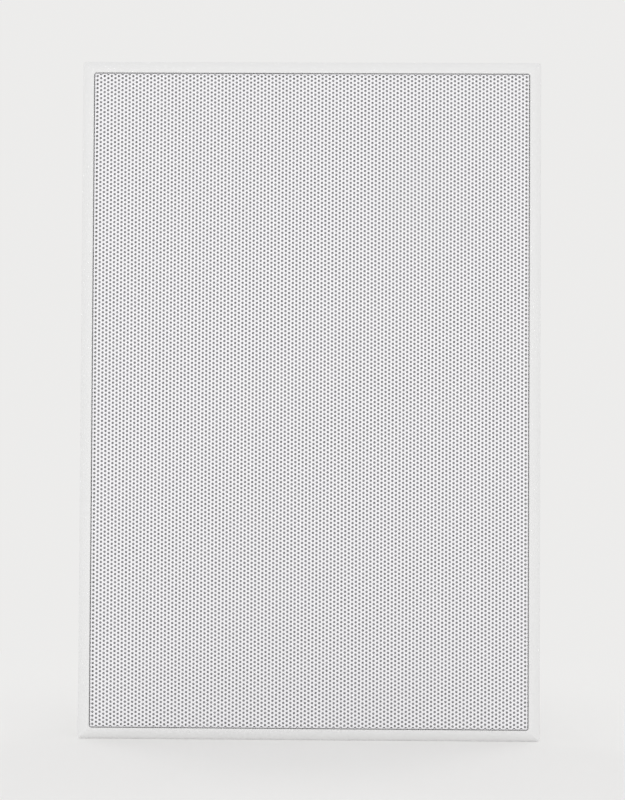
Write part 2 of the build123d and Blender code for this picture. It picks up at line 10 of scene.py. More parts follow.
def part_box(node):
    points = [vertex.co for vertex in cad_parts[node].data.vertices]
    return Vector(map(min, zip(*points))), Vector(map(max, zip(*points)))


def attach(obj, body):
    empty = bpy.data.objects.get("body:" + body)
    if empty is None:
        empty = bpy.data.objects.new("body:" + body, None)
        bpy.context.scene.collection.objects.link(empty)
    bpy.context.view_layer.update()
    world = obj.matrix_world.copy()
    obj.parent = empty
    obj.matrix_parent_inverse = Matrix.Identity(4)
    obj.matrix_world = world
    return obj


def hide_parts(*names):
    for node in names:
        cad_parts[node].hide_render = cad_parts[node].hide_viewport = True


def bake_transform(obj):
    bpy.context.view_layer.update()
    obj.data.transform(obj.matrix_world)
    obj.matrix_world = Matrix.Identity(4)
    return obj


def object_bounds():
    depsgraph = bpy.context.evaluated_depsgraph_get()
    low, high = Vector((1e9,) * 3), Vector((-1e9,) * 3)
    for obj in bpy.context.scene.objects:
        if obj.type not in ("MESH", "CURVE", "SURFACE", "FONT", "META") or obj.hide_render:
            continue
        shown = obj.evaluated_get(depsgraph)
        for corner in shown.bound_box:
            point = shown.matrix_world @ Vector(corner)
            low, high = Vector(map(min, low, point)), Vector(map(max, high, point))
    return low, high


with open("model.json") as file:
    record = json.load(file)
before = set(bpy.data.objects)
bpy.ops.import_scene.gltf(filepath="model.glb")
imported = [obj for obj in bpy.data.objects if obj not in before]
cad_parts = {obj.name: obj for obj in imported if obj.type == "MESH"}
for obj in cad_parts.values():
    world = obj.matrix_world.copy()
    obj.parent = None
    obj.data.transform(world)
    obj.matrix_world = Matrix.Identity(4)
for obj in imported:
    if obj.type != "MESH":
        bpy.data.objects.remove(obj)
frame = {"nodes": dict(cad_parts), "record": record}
cad_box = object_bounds()

bl_info = {
    "name": "In-wall loudspeaker",
    "version": (1, 0, 0),
    "blender": (4, 5, 0),
    "location": "View3D > Sidebar > Loudspeaker",
    "description": "Dresses the packed solids of an in-wall loudspeaker and builds its fine pieces",
    "category": "Object",
}

MM = 0.001
FINISH_ENDING = "_finish"
MERGE_WITHIN = 1e-7
SITES = ("top_right", "bottom_right", "top_left", "bottom_left")
TWEETER_FINISHES = {"tweeter_cup": "zinc_tweeter", "tweeter_pole_disc": "zinc_tweeter"}


# Properties


def measure(label, text, value, unit="LENGTH"):
    return bpy.props.FloatProperty(
        name=label, description=text, default=value, min=0.0, unit=unit, precision=5
    )


def count(label, text, value):
    return bpy.props.IntProperty(name=label, description=text, default=value, min=1)


def tint(label, text, value):
    return bpy.props.FloatVectorProperty(
        name=label, description=text, default=value, subtype="COLOR", size=3, min=0.0, max=1.0
    )


class SpeakerSizes(bpy.types.PropertyGroup):
    """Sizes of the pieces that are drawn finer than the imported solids"""

    hole_columns: count("Hole columns", "Columns of holes across the flat of the grille", 121)
    hole_rows: count("Hole rows", "Rows of holes up the flat of the grille", 162)
    hole_diameter: measure("Hole diameter", "Diameter of one hole of the grille", 1.34 * MM)
    hole_sides: count("Hole sides", "Sides that a hole is drawn with", 7)
    sheet: measure("Grille sheet", "Thickness of the perforated sheet", 0.8 * MM)
    fold: measure("Grille fold", "Outer radius of the grille's folded edge", 0.5 * MM)
    bands: count("Grille bands", "Pieces that the perforated sheet is divided into", 5)
    rubber: measure("Surround rubber", "Thickness of the surround's roll", 0.7 * MM)
    spider_cloth: measure("Spider cloth", "Thickness of the corrugated spider", 0.5 * MM)
    spider_wave: measure("Spider wave", "Height of the spider's corrugations", 1.1 * MM)
    coil_wire: measure("Inductor wire", "Diameter of the inductor's wire", 1.25 * MM)
    thread_pitch: measure("Clamp thread", "Pitch of the clamp screws' thread", 1.25 * MM)


class SpeakerFinishes(bpy.types.PropertyGroup):
    """Colours of the finishes"""

    frame: tint("Frame", "White of the moulded frame", (0.82, 0.819, 0.818))
    grille: tint("Grille", "White paint of the perforated sheet", (0.885, 0.878, 0.898))
    scrim: tint("Scrim", "Thin cloth behind the grille", (0.58, 0.575, 0.595))
    cone: tint("Cone", "Moulded cone and dust cap", (0.03, 0.031, 0.034))
    rubber: tint("Surround", "Rubber of the cone's surround", (0.016, 0.016, 0.017))
    basket: tint("Basket", "Moulded basket of the woofer", (0.022, 0.022, 0.024))
    spider: tint("Spider", "Impregnated cloth of the spider", (0.42, 0.27, 0.10))
    dome: tint("Dome", "Coated silk of the tweeter's dome", (0.035, 0.033, 0.034))
    board: tint("Board", "Laminate of the crossover board", (0.03, 0.13, 0.055))
    copper: tint("Copper", "Enamelled winding wire", (0.62, 0.26, 0.10))
    zinc: tint("Zinc plate", "Plated steel of the magnets' yokes", (0.45, 0.45, 0.44))
    dog: tint("Clamp dog", "Moulded clamp dogs", (0.05, 0.05, 0.053))
    red: tint("Red plunger", "Plunger of the positive terminal", (0.52, 0.02, 0.018))
    black: tint("Black plunger", "Plunger of the negative terminal", (0.02, 0.02, 0.021))


class SpeakerStage(bpy.types.PropertyGroup):
    """Floor, background, lights and camera"""

    floor: tint("Floor", "Pale floor that the part stands on", (0.93, 0.925, 0.916))
    background: tint("Background", "Pale surroundings behind the part", (0.845, 0.84, 0.832))
    ambient: measure("Ambient", "Level of the light from all round", 0.84, "NONE")
    key: measure("Key light", "Power of the soft light behind the camera", 7.4, "POWER")
    back: measure("Back light", "Power of the soft lights behind the part", 7.0, "POWER")
    lens: measure("Lens", "Focal length of the camera", 80.77, "CAMERA")
    distance: measure("Distance", "From the camera to the point it aims at", 0.9)


# Node trees


def node(tree, kind, inputs=None, **options):
    """Adds a node, sets its options, and fills or links its inputs."""
    made = tree.nodes.new(kind)
    for name, value in options.items():
        setattr(made, name, value)
    for name, value in (inputs or {}).items():
        if isinstance(value, bpy.types.NodeSocket):
            tree.links.new(value, made.inputs[name])
        else:
            made.inputs[name].default_value = value
    return made


def maths(tree, operation, first, second=0.0):
    return node(tree, "ShaderNodeMath", {0: first, 1: second}, operation=operation).outputs[0]


def shared(tree, share, first, second):
    """A share of one value and the rest of another."""
    rest = maths(tree, "MULTIPLY", second, 1.0 - share)
    return maths(tree, "ADD", maths(tree, "MULTIPLY", first, share), rest)


def blended(tree, share, first, second):
    """A mix of two colours. A mix node keeps its colours in sockets 6 and 7, and its result in 2."""
    return node(tree, "ShaderNodeMix", {0: share, 6: first, 7: second}, data_type="RGBA").outputs[2]


def noise(tree, place, scale, detail):
    made = node(tree, "ShaderNodeTexNoise", {"Vector": place, "Scale": scale, "Detail": detail})
    return made.outputs[0]


COMMON_INPUTS = (
    ("Colour", "NodeSocketColor", (0.5, 0.5, 0.5, 1.0)),
    ("Second colour", "NodeSocketColor", (0.4, 0.4, 0.4, 1.0)),
    ("Roughness", "NodeSocketFloat", 0.5),
    ("Roughness spread", "NodeSocketFloat", 0.1),
    ("Grain scale", "NodeSocketFloat", 2000.0),
)


def effect(name, extra_inputs=()):
    """An empty shader group with the common inputs and the three outputs that every finish uses."""
    group = bpy.data.node_groups.new(name, "ShaderNodeTree")
    for label, kind, value in COMMON_INPUTS + extra_inputs:
        group.interface.new_socket(label, in_out="INPUT", socket_type=kind).default_value = value
    for label, kind in (("Colour", "Color"), ("Roughness", "Float"), ("Height", "Float")):
        group.interface.new_socket(label, in_out="OUTPUT", socket_type="NodeSocket" + kind)
    entry = group.nodes.new("NodeGroupInput").outputs
    place = node(group, "ShaderNodeTexCoord").outputs["Object"]
    return group, entry, place


def put_out(group, entry, tone, wear, height):
    """Ends an effect: a tone blends its two colours, and a wear about one half spreads its roughness."""
    spread = maths(group, "MULTIPLY", entry["Roughness spread"], maths(group, "SUBTRACT", wear, 0.5))
    outputs = {
        "Colour": blended(group, tone, entry["Colour"], entry["Second colour"]),
        "Roughness": maths(group, "ADD", entry["Roughness"], spread),
        "Height": height,
    }
    node(group, "NodeGroupOutput", outputs)


def moulded_grain():
    """Fine spark-eroded grain of a moulding or paint, with slow patches of tone."""
    group, entry, place = effect("moulded_grain")
    patches = noise(group, place, scale=38.0, detail=3.0)
    fine = noise(group, place, entry["Grain scale"], detail=2.0)
    put_out(group, entry, patches, fine, fine)


def metal_skin():
    """Rolled or plated metal: faint lines along the rolling and cloudy patches in the plating."""
    group, entry, place = effect("metal_skin")
    rolling = (1.0, 0.06, 0.3)
    stretched = node(group, "ShaderNodeMapping", {"Vector": place, "Scale": rolling}).outputs[0]
    lines = noise(group, stretched, entry["Grain scale"], detail=3.0)
    patches = noise(group, place, scale=120.0, detail=5.0)
    put_out(group, entry, patches, shared(group, 0.6, patches, lines), lines)


def turned_metal():
    """Plated metal with fine rings round a driver's axis, as a lathe leaves them."""
    group, entry, place = effect("turned_metal", (("Axis height", "NodeSocketFloat", 0.0),))
    axes = node(group, "ShaderNodeSeparateXYZ", {0: place}).outputs
    up = maths(group, "SUBTRACT", axes["Z"], entry["Axis height"])
    squares = maths(group, "ADD", maths(group, "POWER", axes["X"], 2.0), maths(group, "POWER", up, 2.0))
    from_axis = maths(group, "SQRT", squares)
    section = node(group, "ShaderNodeCombineXYZ", {"X": from_axis, "Y": axes["Y"]}).outputs[0]
    rings = noise(group, section, entry["Grain scale"], detail=2.0)
    patches = noise(group, place, scale=60.0, detail=4.0)
    put_out(group, entry, shared(group, 0.5, patches, rings), rings, rings)


def cloth_weave():
    """A plain weave of two crossing sets of threads. The scale is in threads to the metre."""
    group, entry, place = effect("cloth_weave")
    turns = maths(group, "MULTIPLY", entry["Grain scale"], 2.0 * math.pi)
    axes = node(group, "ShaderNodeSeparateXYZ", {0: place}).outputs
    warp, weft = (maths(group, "SINE", maths(group, "MULTIPLY", axes[axis], turns)) for axis in "XZ")
    crossing = maths(group, "MULTIPLY", warp, weft)
    height = node(group, "ShaderNodeMapRange", {"Value": crossing, "To Min": 0.5}).outputs[0]
    slubs = noise(group, place, scale=300.0, detail=3.0)
    bare = maths(group, "SUBTRACT", 1.0, maths(group, "MULTIPLY", height, slubs))
    put_out(group, entry, bare, slubs, height)


def shade(colour, share=1.0):
    """A colour times a share, with its alpha."""
    return tuple(channel * share for channel in colour[:3]) + (1.0,)


def new_material(name):
    """A material with its node tree and its shader."""
    material = bpy.data.materials.new(name)
    material.use_nodes = True
    return material, material.node_tree, material.node_tree.nodes["Principled BSDF"]


def finish(name, effect_name, metal, edge, colour, second_share, rough, spread, scale, relief):
    """A material whose colour, roughness and relief come from one of the effects, with softened edges."""
    _, tree, shader = new_material(name + FINISH_ENDING)
    shader.inputs["Metallic"].default_value = metal
    values = (shade(colour), shade(colour, second_share), rough, spread, scale)
    inputs = {label: value for (label, _, _), value in zip(COMMON_INPUTS, values)}
    group = node(tree, "ShaderNodeGroup", inputs, node_tree=bpy.data.node_groups[effect_name])
    heights = {"Height": group.outputs["Height"], "Strength": 0.5, "Distance": relief * MM}
    bump = node(tree, "ShaderNodeBump", heights)
    if edge:
        softened = node(tree, "ShaderNodeBevel", {"Radius": edge}, samples=4)
        tree.links.new(softened.outputs["Normal"], bump.inputs["Normal"])
    tree.links.new(group.outputs["Colour"], shader.inputs["Base Color"])
    tree.links.new(group.outputs["Roughness"], shader.inputs["Roughness"])
    tree.links.new(bump.outputs["Normal"], shader.inputs["Normal"])
    return group


def make_finishes(colours):
    """Every finish, named after the material slot that it stands for, with an ending of its own."""
    for make_effect in (moulded_grain, metal_skin, turned_metal, cloth_weave):
        make_effect()
    soft_edge = 0.35 * MM
    sharp_finishes = ("grille_paint", "scrim", "surround_rubber", "spider_cloth")
    # Name, colour, share of it in the second colour, roughness, its spread, grain scale and relief in mm
    grains = (
        ("frame_plastic", colours.frame, 0.985, 0.42, 0.16, 1500.0, 0.03),
        ("grille_paint", colours.grille, 0.99, 0.46, 0.2, 3000.0, 0.015),
        ("basket_plastic", colours.basket, 1.5, 0.5, 0.2, 2200.0, 0.04),
        ("surround_rubber", colours.rubber, 1.5, 0.55, 0.2, 1200.0, 0.02),
        ("cone_polymer", colours.cone, 1.4, 0.38, 0.25, 900.0, 0.05),
        ("faceplate_plastic", (0.025, 0.025, 0.027), 1.4, 0.48, 0.15, 2400.0, 0.03),
        ("capacitor_case", (0.52, 0.38, 0.045), 0.9, 0.34, 0.15, 900.0, 0.02),
        ("resistor_cement", (0.66, 0.64, 0.59), 0.88, 0.85, 0.1, 1800.0, 0.1),
        ("terminal_plastic", (0.028, 0.028, 0.03), 1.4, 0.45, 0.15, 2000.0, 0.03),
        ("plunger_red", colours.red, 0.85, 0.36, 0.12, 2000.0, 0.02),
        ("plunger_black", colours.black, 1.5, 0.36, 0.12, 2000.0, 0.02),
        ("dog_plastic", colours.dog, 1.3, 0.5, 0.18, 1800.0, 0.04),
        ("ferrite", (0.045, 0.045, 0.047), 0.7, 0.62, 0.25, 1600.0, 0.1),
    )
    weaves = (
        ("scrim", colours.scrim, 0.45, 0.92, 0.1, 1600.0, 0.1),
        ("spider_cloth", colours.spider, 0.55, 0.85, 0.1, 1400.0, 0.1),
        ("silk_dome", colours.dome, 0.6, 0.5, 0.15, 4000.0, 0.04),
        ("board_laminate", colours.board, 0.82, 0.36, 0.1, 1100.0, 0.01),
        ("board_trace", shade(colours.board, 2.2), 0.9, 0.32, 0.1, 1100.0, 0.01),
        ("strip_board", (0.16, 0.075, 0.028), 0.7, 0.6, 0.1, 1200.0, 0.02),
    )
    metals = (
        ("nickel", (0.66, 0.63, 0.58), 0.85, 0.24, 0.2, 900.0, 0.01),
        ("black_steel", (0.03, 0.03, 0.032), 1.6, 0.42, 0.2, 1200.0, 0.01),
        ("former_foil", (0.72, 0.72, 0.73), 0.9, 0.3, 0.2, 700.0, 0.01),
        ("copper_wire", colours.copper, 0.8, 0.28, 0.15, 1600.0, 0.01),
        ("tinned_brass", (0.70, 0.68, 0.60), 0.85, 0.3, 0.2, 900.0, 0.01),
        ("core_iron", (0.24, 0.23, 0.22), 0.75, 0.5, 0.25, 1400.0, 0.03),
        ("clamp_steel", (0.66, 0.62, 0.48), 0.8, 0.32, 0.22, 900.0, 0.01),
    )
    zinc = (colours.zinc, 0.7, 0.34, 0.3, 1500.0, 0.03)
    groups = (("moulded_grain", 0.0, grains), ("cloth_weave", 0.0, weaves), ("metal_skin", 1.0, metals))
    for effect_name, metal, rows in groups:
        for name, *values in rows:
            finish(name, effect_name, metal, 0.0 if name in sharp_finishes else soft_edge, *values)
    for name, driver in (("zinc_steel", "woofer_yoke"), ("zinc_tweeter", "tweeter_cup")):
        group = finish(name, "turned_metal", 1.0, soft_edge, *zinc)
        group.inputs["Axis height"].default_value = extent(driver)[2].z


def dress(obj, slot, finish_name=None):
    """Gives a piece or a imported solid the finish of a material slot."""
    obj.data.materials.clear()
    obj.data.materials.append(bpy.data.materials[(finish_name or slot) + FINISH_ENDING])


# Meshes


def extent(node_name):
    """The low corner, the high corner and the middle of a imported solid."""
    low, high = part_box(node_name)
    return low, high, (low + high) / 2


def linked(name, data):
    """A new object in the scene."""
    obj = bpy.data.objects.new(name, data)
    bpy.context.scene.collection.objects.link(obj)
    return obj


def new_piece(name, parts, slot, body=None, finish_name=None, smooth_below=math.radians(38)):
    """A mesh piece in the shared frame, in metres, from parts of points and faces in any winding."""
    points, faces = [], []
    for part_points, part_faces in parts:
        first = len(points)
        points += [tuple(point) for point in part_points]
        faces += [tuple(first + corner for corner in face) for face in part_faces]
    mesh = bpy.data.meshes.new(name)
    mesh.from_pydata(points, [], faces)
    net = bmesh.new()
    net.from_mesh(mesh)
    bmesh.ops.remove_doubles(net, verts=net.verts, dist=MERGE_WITHIN)
    bmesh.ops.recalc_face_normals(net, faces=net.faces)
    net.to_mesh(mesh)
    net.free()
    mesh.polygons.foreach_set("use_smooth", np.ones(len(mesh.polygons), bool))
    mesh.set_sharp_from_angle(angle=smooth_below)
    obj = linked(name, mesh)
    dress(obj, slot, finish_name)
    if body:
        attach(obj, body)
    return obj


def round_section(radius, sides):
    angles = [2.0 * math.pi * step / sides for step in range(sides)]
    return [(radius * math.cos(angle), radius * math.sin(angle)) for angle in angles]


def lofted(rings, closed=False):
    """A solid through rings of points. An end is capped or is one point, unless the ends join."""
    rim = len(rings[1])
    points, numbers, faces = [], [], []
    for ring in rings:
        numbers.append([len(points) + step % len(ring) for step in range(rim)])
        points += ring
    for near, far in zip(numbers, numbers[1:] + numbers[:1] if closed else numbers[1:]):
        for step in range(rim):
            after = (step + 1) % rim
            faces.append(tuple(dict.fromkeys((near[step], near[after], far[after], far[step]))))
    if not closed:
        faces += [end for end in (numbers[0][::-1], numbers[-1]) if end[0] != end[1]]
    return points, faces


def turned(profile, centre, segments):
    """A closed (radius, depth) profile turned about the level axis through a centre."""
    rings = []
    for x, z in round_section(1.0, segments):
        rings.append([(centre.x + x * radius, depth, centre.z + z * radius) for radius, depth in profile])
    return lofted(rings, closed=True)


# Each axis with the two directions square to it
AXES = {
    "X": (Vector((1.0, 0.0, 0.0)), Vector((0.0, 1.0, 0.0)), Vector((0.0, 0.0, 1.0))),
    "Y": (Vector((0.0, 1.0, 0.0)), Vector((0.0, 0.0, 1.0)), Vector((1.0, 0.0, 0.0))),
}


def spun(profile, centre, axis, segments):
    """A solid turned from (radius, place along) points about an axis. Its two ends lie on the axis."""
    along, first, second = AXES[axis]
    rings = []
    for radius, height in profile:
        section = round_section(radius, segments) if radius else [(0.0, 0.0)]
        at = Vector(centre) + along * height
        rings.append([at + first * across + second * up for across, up in section])
    return lofted(rings)


def thickened(line, thick):
    """A closed profile: a line of (radius, depth) points with half a thickness to either side."""
    line = np.array(line)
    along = np.gradient(line, axis=0)
    along /= np.linalg.norm(along, axis=1)[:, None]
    across = np.stack([-along[:, 1], along[:, 0]], axis=1) * thick / 2
    return np.concatenate([line + across, (line - across)[::-1]])


def swept(path, section):
    """A section of (across, out) points carried along a path, its across direction held near upright."""
    path = [Vector(point) for point in path]
    side = Vector((0.0, 0.0, 1.0))
    rings = []
    for place, here in enumerate(path):
        along = (path[min(place + 1, len(path) - 1)] - path[max(place - 1, 0)]).normalized()
        side = (side - along * side.dot(along)).normalized()
        away = along.cross(side)
        rings.append([here + side * across + away * out for across, out in section])
    return lofted(rings)


def rounded_box(low, high, edge, steps=2):
    """A box with rounded edges between two corners."""
    low, high = Vector(low), Vector(high)
    net = bmesh.new()
    bmesh.ops.create_cube(net, size=1.0)
    for vertex in net.verts:
        vertex.co = (low + high) / 2 + Vector(a * b for a, b in zip(vertex.co, high - low))
    bmesh.ops.bevel(net, geom=net.edges[:], offset=edge, segments=steps, affect="EDGES", profile=0.5)
    net.verts.index_update()
    points = [vertex.co.copy() for vertex in net.verts]
    faces = [[vertex.index for vertex in face.verts] for face in net.faces]
    net.free()
    return points, faces


# Stage


def build_stage(stage):
    """One soft light behind the camera, two behind the part, the floor and the camera."""
    key_place, key_width = (-0.12, -2.08, 0.1), 0.5
    back_side, back_place, back_width = 1.3, (1.3, 1.2), 1.2
    bpy.context.scene.view_settings.view_transform = "Standard"
    paint_world(stage)
    lay_floor(stage, cad_box[0][2])
    soft_light("key_light", key_place, key_width, stage.key)
    for name, x in (("back_light_left", -back_side), ("back_light_right", back_side)):
        soft_light(name, (x, *back_place), back_width, stage.back)
    place_camera(stage)


def seen_directly(tree):
    """One for rays from the camera, from a mirror or through glass, and nought for all other rays."""
    path = node(tree, "ShaderNodeLightPath").outputs
    either = maths(tree, "MAXIMUM", path["Is Camera Ray"], path["Is Glossy Ray"])
    return maths(tree, "MAXIMUM", either, path["Is Transmission Ray"])


def put_surface(tree, output, share, first, second):
    """Two shaders mixed by a share, as the surface of a material or of the world."""
    mix = node(tree, "ShaderNodeMixShader", {0: share, 1: first.outputs[0], 2: second.outputs[0]})
    tree.links.new(mix.outputs[0], tree.nodes[output].inputs["Surface"])


def paint_world(stage):
    """White light from all round, with the pale background where it is seen."""
    world = bpy.data.worlds.new("studio")
    bpy.context.scene.world = world
    world.use_nodes = True
    tree = world.node_tree
    shown = tree.nodes["Background"]
    shown.inputs["Color"].default_value = shade(stage.background)
    white = {"Color": (1.0, 1.0, 1.0, 1.0), "Strength": stage.ambient}
    light = node(tree, "ShaderNodeBackground", white)
    put_surface(tree, "World Output", seen_directly(tree), light, shown)


def lay_floor(stage, height):
    """A round floor that shows as pale as the background and keeps a soft shadow round the part."""
    radius, sides, near, far = 8.0, 96, 0.1, 0.42
    shadow_hold, shown_share = 0.6, 0.92
    mesh = bpy.data.meshes.new("floor")
    mesh.from_pydata([(x, y, 0.0) for x, y in round_section(radius, sides)], [], [range(sides)])
    floor = linked("floor", mesh)
    floor.location.z = height
    material, tree, shader = new_material("floor")
    mesh.materials.append(material)
    shader.inputs["Roughness"].default_value = 0.9
    shader.inputs["Specular IOR Level"].default_value = 0.0
    place = node(tree, "ShaderNodeTexCoord").outputs["Object"]
    seen = seen_directly(tree)
    shown = shade(stage.floor, shown_share)
    pale = blended(tree, seen, shade(stage.floor), shown)
    speckle = noise(tree, place, scale=60.0, detail=3.0)
    tree.links.new(blended(tree, speckle, pale, shown), shader.inputs["Base Color"])
    distance = node(tree, "ShaderNodeVectorMath", {0: place}, operation="LENGTH").outputs["Value"]
    limits = {"Value": distance, "From Min": near, "From Max": far, "To Min": 1.0 - shadow_hold}
    fade = node(tree, "ShaderNodeMapRange", limits, interpolation_type="SMOOTHSTEP").outputs[0]
    glow = node(tree, "ShaderNodeEmission", {"Color": shade(stage.background)})
    put_surface(tree, "Material Output", maths(tree, "MULTIPLY", fade, seen), shader, glow)


def soft_light(name, place, width, power):
    """A round soft light that faces the middle of the part."""
    lamp = bpy.data.lights.new(name, "AREA")
    lamp.shape = "DISK"
    lamp.size = width
    lamp.energy = power
    obj = linked(name, lamp)
    obj.location = place
    obj.rotation_euler = (-Vector(place)).to_track_quat("-Z", "Y").to_euler()


def place_camera(stage):
    """A camera almost square to the front, a little below the middle and tilted by part of a degree."""
    azimuth, elevation, roll = (math.radians(angle) for angle in (0.714, -1.336, 0.312))
    aim = Matrix.Translation((1.15 * MM, 0.0, -0.03 * MM))
    away = Matrix.Translation((0.0, 0.0, stage.distance))
    turns = ((azimuth, "Z"), (math.pi / 2 - elevation, "X"), (roll, "Z"))
    around, over, tilt = (Matrix.Rotation(angle, 4, axis) for angle, axis in turns)
    lens = bpy.data.cameras.new("camera")
    lens.lens = stage.lens
    camera = linked("camera", lens)
    camera.matrix_world = aim @ around @ over @ away @ tilt
    bpy.context.scene.camera = camera


# Grille


class PerforatedSheet:
    """The folded pan as a staggered lattice of holes, drawn flat and then carried over its folded edges."""

    def __init__(self, sizes):
        low, high, self.centre = extent("grille")
        self.front = low.y
        self.sheet = sizes.sheet
        self.fold = sizes.fold
        self.columns = sizes.hole_columns
        half_width = (high.x - low.x) / 2 - self.fold
        half_height = (high.z - low.z) / 2 - self.fold
        self.half = np.array([[half_width], [half_height]])
        self.row = 2 * half_height / sizes.hole_rows
        self.rim = high.y - low.y - self.fold + self.fold * math.pi / 2
        self.radius = sizes.hole_diameter / 2
        self.angles = 2.0 * math.pi * (np.arange(sizes.hole_sides) + 0.5) / sizes.hole_sides
        border = np.array([self.row, self.row / 2])
        inside = np.linspace(-half_width, half_width, self.columns + 1)
        self.lines = np.concatenate([-half_width - border, inside, half_width + border[::-1]])
        reach = half_height + self.row
        self.steps = np.linspace(-reach, reach, 2 * sizes.hole_rows + 5)
        self.last = len(self.steps) - 1
        self.flat = np.array([np.repeat(self.lines, len(self.steps)), np.tile(self.steps, len(self.lines))])
        self.triangles = []

    def at(self, line, step):
        """Number of the lattice point on a line at a step. Negative values count from the far end."""
        return line % len(self.lines) * len(self.steps) + step % len(self.steps)

    def add_points(self, across, up):
        first = self.flat.shape[1]
        self.flat = np.concatenate([self.flat, [np.ravel(across), np.ravel(up)]], axis=1)
        return first + np.arange(np.size(across)).reshape(np.shape(across))

    def add_column(self, left, right, starts):
        """One column of cells, each with a hole in its middle that triangles join to the cell's edge."""
        starts = np.array(starts)
        middle = (self.lines[left] + self.lines[right]) / 2
        up = self.steps[starts + 1][:, None] + self.radius * np.sin(self.angles)
        across = np.broadcast_to(middle + self.radius * np.cos(self.angles), up.shape)
        rings = self.add_points(across, up)
        corners = [(right, 1), (right, 2), (left, 2), (left, 1), (left, 0), (right, 0)]
        edge = np.stack([self.at(line, 0) + starts + step for line, step in corners], axis=1)
        sides = {left: -1, right: 1}
        slopes = [math.atan2(step - 1, sides[line]) % (2 * math.pi) for line, step in corners]
        turns = []
        for loop, angles in enumerate((self.angles, slopes)):
            turns += [(angle, loop) for angle in (*angles[1:], angles[0] + 2 * math.pi)]
        loops, places = (rings, edge), [0, 0]
        for _, moved in sorted(turns):
            triangle = [loop[:, place % loop.shape[1]] for loop, place in zip(loops, places)]
            places[moved] += 1
            triangle.append(loops[moved][:, places[moved] % loops[moved].shape[1]])
            self.triangles.append(np.stack(triangle, axis=1))

    def add_quads(self, corners):
        corners = np.array(corners)
        self.triangles += [corners[:, [0, 1, 2]], corners[:, [0, 2, 3]]]

    def add_plain(self, first, second, low, high):
        """One plain cell between two lines and two steps."""
        ends = ((first, low), (second, low), (second, high), (first, high))
        self.add_quads([[self.at(line, step) for line, step in ends]])

    def add_cells(self):
        """Every column of holes, with plain half cells where the stagger leaves them."""
        for column in range(self.columns):
            left = column + 2
            if column % 2 == 0:
                self.add_column(left, left + 1, range(0, self.last, 2))
                continue
            self.add_column(left, left + 1, range(1, self.last - 2, 2))
            for start in (0, self.last - 1):
                self.add_plain(left, left + 1, start, start + 1)

    def add_side_folds(self):
        """A column of holes over each side's fold, and the plain cells at its ends and at the corners."""
        last = self.last
        for outer, half, inner in ((0, 1, 2), (-1, -2, -3)):
            left, right = sorted(line % len(self.lines) for line in (outer, inner))
            self.add_column(left, right, range(3, last - 4, 2))
            for edge, next_in, past in ((2, 3, (0, 1)), (last - 2, last - 3, (last, last - 1))):
                fan = [(outer, edge), (half, edge), (inner, edge), (inner, next_in), (outer, next_in)]
                points = [self.at(line, step) for line, step in fan]
                for a, b, c in ((0, 1, 4), (1, 3, 4), (1, 2, 3)):
                    self.triangles.append(np.array([[points[a], points[b], points[c]]]))
                for first, second in ((outer, half), (half, inner)):
                    self.add_plain(first, second, *past)
                    self.add_plain(first, second, past[1], edge)

    def add_rim(self):
        """The plain edge that runs back from the folds."""
        last_line = len(self.lines) - 1
        ring = [(0, step) for step in range(self.last)] + [(line, self.last) for line in range(last_line)]
        ring += [(last_line - line, self.last - step) for line, step in ring]
        outer = np.array([self.at(line, step) for line, step in ring])
        flat = self.flat[:, outer]
        inside = np.clip(flat, -self.half, self.half)
        stretch = self.rim / self.row
        ends = self.add_points(*(inside + (flat - inside) * stretch))
        self.add_quads(np.stack([outer, np.roll(outer, -1), np.roll(ends, -1), ends], axis=1))

    def carried(self, depth):
        """Every point's place on the folded pan at a depth into the sheet, which thins at its folds."""
        fold_share, least_length = 0.9, 1e-9
        inside = (self.half - np.abs(self.flat)).min(axis=0)
        thinned = min(depth, fold_share * self.fold)
        depth = thinned + (depth - thinned) * np.clip(inside / self.row, 0.0, 1.0)
        past = np.maximum(np.abs(self.flat) - self.half, 0.0)
        most = past.max(axis=0)
        length = np.maximum(np.hypot(*past), least_length)
        turn = np.minimum(most / self.fold, math.pi / 2)
        straight = np.maximum(most - self.fold * math.pi / 2, 0.0)
        out = (self.fold - depth) * np.sin(turn)
        down = self.fold - (self.fold - depth) * np.cos(turn) + straight
        x, z = np.clip(self.flat, -self.half, self.half) + np.sign(self.flat) * out * past / length
        return np.stack([self.centre.x + x, self.front + down, self.centre.z + z], axis=1)


def closed_sheet(front, back, triangles):
    """Points and faces of a sheet with a front, a back and a wall along every free edge."""
    used, flat = np.unique(triangles, return_inverse=True)
    triangles, total = flat.reshape(-1, 3), len(used)
    edges = np.sort(triangles[:, [0, 1, 1, 2, 2, 0]].reshape(-1, 2), axis=1)
    found, times = np.unique(edges, axis=0, return_counts=True)
    free = found[times == 1]
    walls = np.hstack([free, free[:, ::-1] + total])
    points = np.concatenate([front[used], back[used]])
    return points.tolist(), triangles.tolist() + (triangles + total).tolist() + walls.tolist()


def build_grille(sizes):
    """The perforated sheet, divided into upright bands."""
    sheet = PerforatedSheet(sizes)
    sheet.add_cells()
    sheet.add_side_folds()
    sheet.add_rim()
    triangles = np.concatenate(sheet.triangles)
    front, back = sheet.carried(0.0), sheet.carried(sheet.sheet)
    cuts = sheet.lines[2 + np.round(np.arange(1, sizes.bands) * sheet.columns / sizes.bands).astype(int)]
    bands = np.digitize(sheet.flat[0][triangles].mean(axis=1), cuts)
    for band in range(sizes.bands):
        parts = [closed_sheet(front, back, triangles[bands == band])]
        name = f"grille_band_{band + 1}"
        piece = new_piece(name, parts, "grille_paint", "grille_pan", smooth_below=math.radians(70))
        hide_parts("grille")


